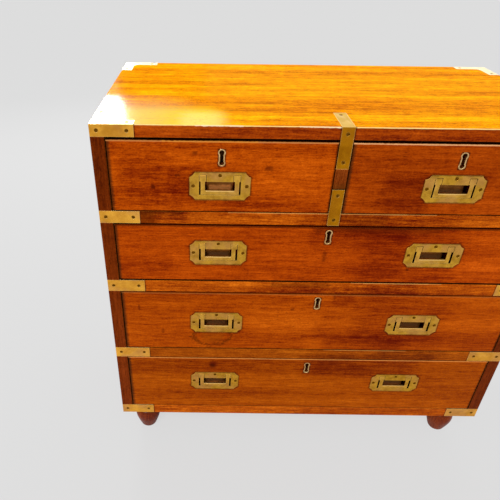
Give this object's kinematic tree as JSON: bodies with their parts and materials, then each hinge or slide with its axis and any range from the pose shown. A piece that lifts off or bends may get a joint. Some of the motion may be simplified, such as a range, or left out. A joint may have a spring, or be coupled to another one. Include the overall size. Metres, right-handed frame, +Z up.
{
  "type": "campaign chest",
  "caption": "Brass-bound mahogany campaign chest with short drawers over long ones, flush lifting handles, locks and turned feet.",
  "frame": {"origin": "on the floor under the middle of the case", "axes": "+Z up, the drawers open towards -Y, the left end is at -X"},
  "size_m": [0.853, 0.44, 0.8125],
  "materials": {
    "case_mahogany": "french-polished mahogany, worn",
    "front_mahogany": "french-polished mahogany, satin to gloss",
    "turned_mahogany": "turned and polished mahogany",
    "lining_wood": "unpolished, aged",
    "brass_binding": "flush straps, worn satin",
    "brass_handles": "cast, aged satin",
    "brass_thread": "thin thread, worn",
    "brass_screws": "slotted heads, dull",
    "lock_steel": "aged"
  },
  "bodies": {
    "case": {"top_board": "case_mahogany", "bottom_board": "case_mahogany", "left_end": "case_mahogany", "right_end": "case_mahogany", "front_rails": "case_mahogany", "centre_divider": "case_mahogany", "drawer_runners": "lining_wood", "dust_panels": "lining_wood", "drawer_stops": "lining_wood", "back_boards": "lining_wood", "corner_straps": "brass_binding", "centre_straps": "brass_binding", "case_screws": "brass_screws", "feet": "turned_mahogany", "carry_handle_plates": "brass_handles"},
    "left_short_drawer": {"left_short_drawer_front": "front_mahogany", "left_short_drawer_box": "lining_wood", "left_short_handle_plate": "brass_handles", "left_short_screws": "brass_screws", "left_short_keyhole_thread": "brass_thread", "left_short_lock_case": "lock_steel"},
    "left_short_bolt": {"left_short_lock_bolt": "brass_handles"},
    "left_short_grip": {"left_short_grip": "brass_handles"},
    "right_short_drawer": {"right_short_drawer_front": "front_mahogany", "right_short_drawer_box": "lining_wood", "right_short_handle_plate": "brass_handles", "right_short_screws": "brass_screws", "right_short_keyhole_thread": "brass_thread", "right_short_lock_case": "lock_steel"},
    "right_short_bolt": {"right_short_lock_bolt": "brass_handles"},
    "right_short_grip": {"right_short_grip": "brass_handles"},
    "upper_long_drawer": {"upper_long_drawer_front": "front_mahogany", "upper_long_drawer_box": "lining_wood", "upper_long_handle_plates": "brass_handles", "upper_long_screws": "brass_screws", "upper_long_keyhole_thread": "brass_thread", "upper_long_lock_case": "lock_steel"},
    "upper_long_bolt": {"upper_long_lock_bolt": "brass_handles"},
    "upper_long_left_grip": {"upper_long_left_grip": "brass_handles"},
    "upper_long_right_grip": {"upper_long_right_grip": "brass_handles"},
    "middle_long_drawer": {"middle_long_drawer_front": "front_mahogany", "middle_long_drawer_box": "lining_wood", "middle_long_handle_plates": "brass_handles", "middle_long_screws": "brass_screws", "middle_long_keyhole_thread": "brass_thread", "middle_long_lock_case": "lock_steel"},
    "middle_long_bolt": {"middle_long_lock_bolt": "brass_handles"},
    "middle_long_left_grip": {"middle_long_left_grip": "brass_handles"},
    "middle_long_right_grip": {"middle_long_right_grip": "brass_handles"},
    "lower_long_drawer": {"lower_long_drawer_front": "front_mahogany", "lower_long_drawer_box": "lining_wood", "lower_long_handle_plates": "brass_handles", "lower_long_screws": "brass_screws", "lower_long_keyhole_thread": "brass_thread", "lower_long_lock_case": "lock_steel"},
    "lower_long_bolt": {"lower_long_lock_bolt": "brass_handles"},
    "lower_long_left_grip": {"lower_long_left_grip": "brass_handles"},
    "lower_long_right_grip": {"lower_long_right_grip": "brass_handles"},
    "left_carry_bail": {"left_carry_bail": "brass_handles"},
    "right_carry_bail": {"right_carry_bail": "brass_handles"}
  },
  "joints": [
    {"name": "left_short_drawer_slide", "type": "slide", "parent": "case", "child": "left_short_drawer", "axis": [0, -1, 0], "range_m": [0, 0.3]},
    {"name": "left_short_bolt_throw", "type": "slide", "parent": "left_short_drawer", "child": "left_short_bolt", "axis": [0, 0, 1], "range_m": [0, 0.009]},
    {"name": "left_short_grip_lift", "type": "hinge", "parent": "left_short_drawer", "child": "left_short_grip", "pos_m": [-0.2065, -0.2175, 0.72095], "axis": [-1, 0, 0], "range_deg": [0, 90]},
    {"name": "right_short_drawer_slide", "type": "slide", "parent": "case", "child": "right_short_drawer", "axis": [0, -1, 0], "range_m": [0, 0.3]},
    {"name": "right_short_bolt_throw", "type": "slide", "parent": "right_short_drawer", "child": "right_short_bolt", "axis": [0, 0, 1], "range_m": [0, 0.009]},
    {"name": "right_short_grip_lift", "type": "hinge", "parent": "right_short_drawer", "child": "right_short_grip", "pos_m": [0.2065, -0.2175, 0.72095], "axis": [-1, 0, 0], "range_deg": [0, 90]},
    {"name": "upper_long_drawer_slide", "type": "slide", "parent": "case", "child": "upper_long_drawer", "axis": [0, -1, 0], "range_m": [0, 0.3]},
    {"name": "upper_long_bolt_throw", "type": "slide", "parent": "upper_long_drawer", "child": "upper_long_bolt", "axis": [0, 0, 1], "range_m": [0, 0.009]},
    {"name": "upper_long_left_grip_lift", "type": "hinge", "parent": "upper_long_drawer", "child": "upper_long_left_grip", "pos_m": [-0.2065, -0.2175, 0.58005], "axis": [-1, 0, 0], "range_deg": [0, 90]},
    {"name": "upper_long_right_grip_lift", "type": "hinge", "parent": "upper_long_drawer", "child": "upper_long_right_grip", "pos_m": [0.2065, -0.2175, 0.58005], "axis": [-1, 0, 0], "range_deg": [0, 90]},
    {"name": "middle_long_drawer_slide", "type": "slide", "parent": "case", "child": "middle_long_drawer", "axis": [0, -1, 0], "range_m": [0, 0.3]},
    {"name": "middle_long_bolt_throw", "type": "slide", "parent": "middle_long_drawer", "child": "middle_long_bolt", "axis": [0, 0, 1], "range_m": [0, 0.009]},
    {"name": "middle_long_left_grip_lift", "type": "hinge", "parent": "middle_long_drawer", "child": "middle_long_left_grip", "pos_m": [-0.2065, -0.2175, 0.40405], "axis": [-1, 0, 0], "range_deg": [0, 90]},
    {"name": "middle_long_right_grip_lift", "type": "hinge", "parent": "middle_long_drawer", "child": "middle_long_right_grip", "pos_m": [0.2065, -0.2175, 0.40405], "axis": [-1, 0, 0], "range_deg": [0, 90]},
    {"name": "lower_long_drawer_slide", "type": "slide", "parent": "case", "child": "lower_long_drawer", "axis": [0, -1, 0], "range_m": [0, 0.3]},
    {"name": "lower_long_bolt_throw", "type": "slide", "parent": "lower_long_drawer", "child": "lower_long_bolt", "axis": [0, 0, 1], "range_m": [0, 0.009]},
    {"name": "lower_long_left_grip_lift", "type": "hinge", "parent": "lower_long_drawer", "child": "lower_long_left_grip", "pos_m": [-0.2065, -0.2175, 0.2276], "axis": [-1, 0, 0], "range_deg": [0, 90]},
    {"name": "lower_long_right_grip_lift", "type": "hinge", "parent": "lower_long_drawer", "child": "lower_long_right_grip", "pos_m": [0.2065, -0.2175, 0.2276], "axis": [-1, 0, 0], "range_deg": [0, 90]},
    {"name": "left_carry_bail_lift", "type": "hinge", "parent": "case", "child": "left_carry_bail", "pos_m": [-0.42325, 0, 0.5862], "axis": [0, 1, 0], "range_deg": [0, 90]},
    {"name": "right_carry_bail_lift", "type": "hinge", "parent": "case", "child": "right_carry_bail", "pos_m": [0.42325, 0, 0.5862], "axis": [0, -1, 0], "range_deg": [0, 90]}
  ]
}
